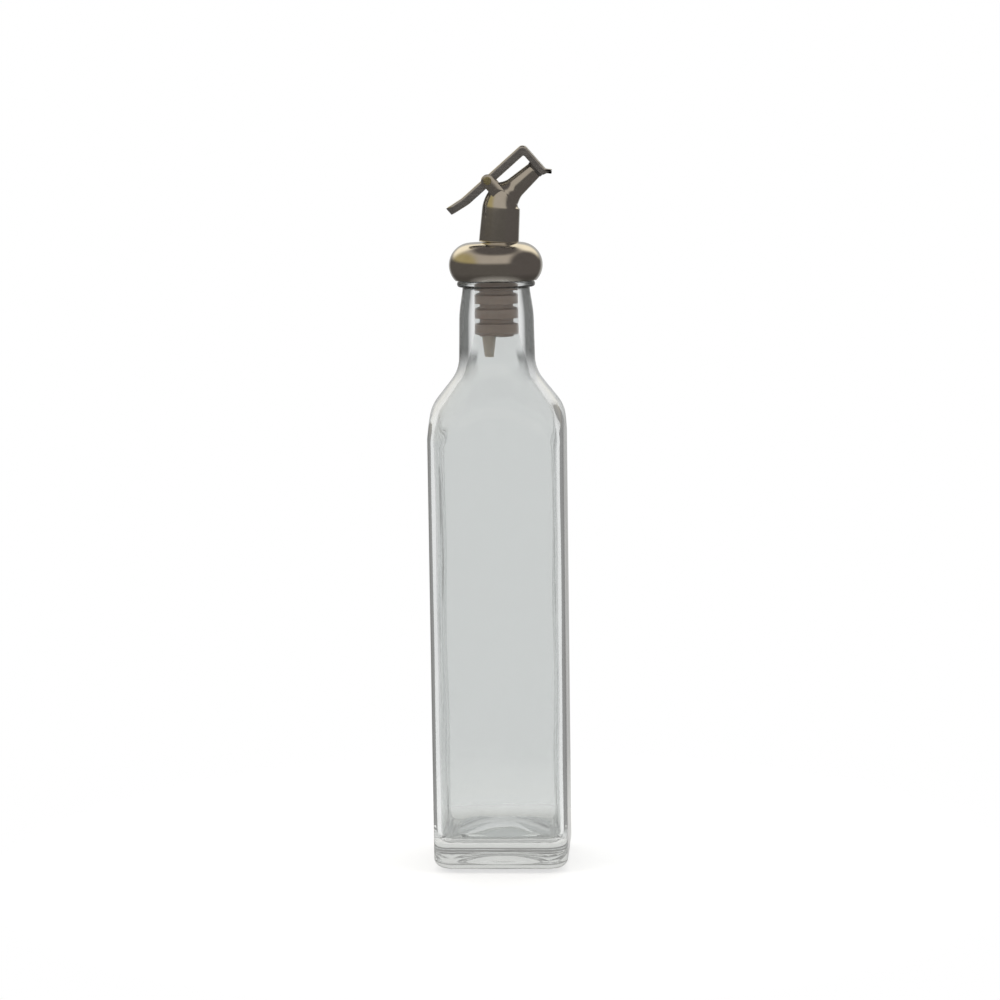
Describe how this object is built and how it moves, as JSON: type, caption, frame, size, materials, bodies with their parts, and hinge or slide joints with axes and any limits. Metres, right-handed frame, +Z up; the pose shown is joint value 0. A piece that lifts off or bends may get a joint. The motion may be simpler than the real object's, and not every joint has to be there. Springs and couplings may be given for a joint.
{
  "type": "oil bottle with pourer",
  "caption": "Square clear glass oil bottle with a round neck, a chromed collar and a bent pouring spout closed by a hinged lever flap.",
  "frame": {"origin": "middle of the ring that the bottle stands on, at table height", "axes": "+Z up the bottle, +X to the side the spout pours to, the flat front panel faces -Y"},
  "size_m": [0.0576, 0.0576, 0.3074],
  "materials": {
    "clear_glass": "clear, smooth",
    "stopper_plastic": "moulded, slightly soft",
    "polished_chrome": "polished",
    "pin_brass": "plain",
    "pressed_steel": "polished",
    "pad_rubber": "soft, matte"
  },
  "bodies": {
    "bottle": {"glass_bottle": "clear_glass", "ribbed_stopper": "stopper_plastic", "air_tube": "stopper_plastic", "collar": "polished_chrome", "spout": "polished_chrome", "hinge_pin": "pin_brass"},
    "flap": {"pour_flap": "pressed_steel", "mouth_pad": "pad_rubber"}
  },
  "joints": [
    {"name": "flap_hinge", "type": "hinge", "parent": "bottle", "child": "flap", "pos_m": [-0.00271, 0, 0.29276], "axis": [0, -1, 0], "range_deg": [0, 30]}
  ]
}
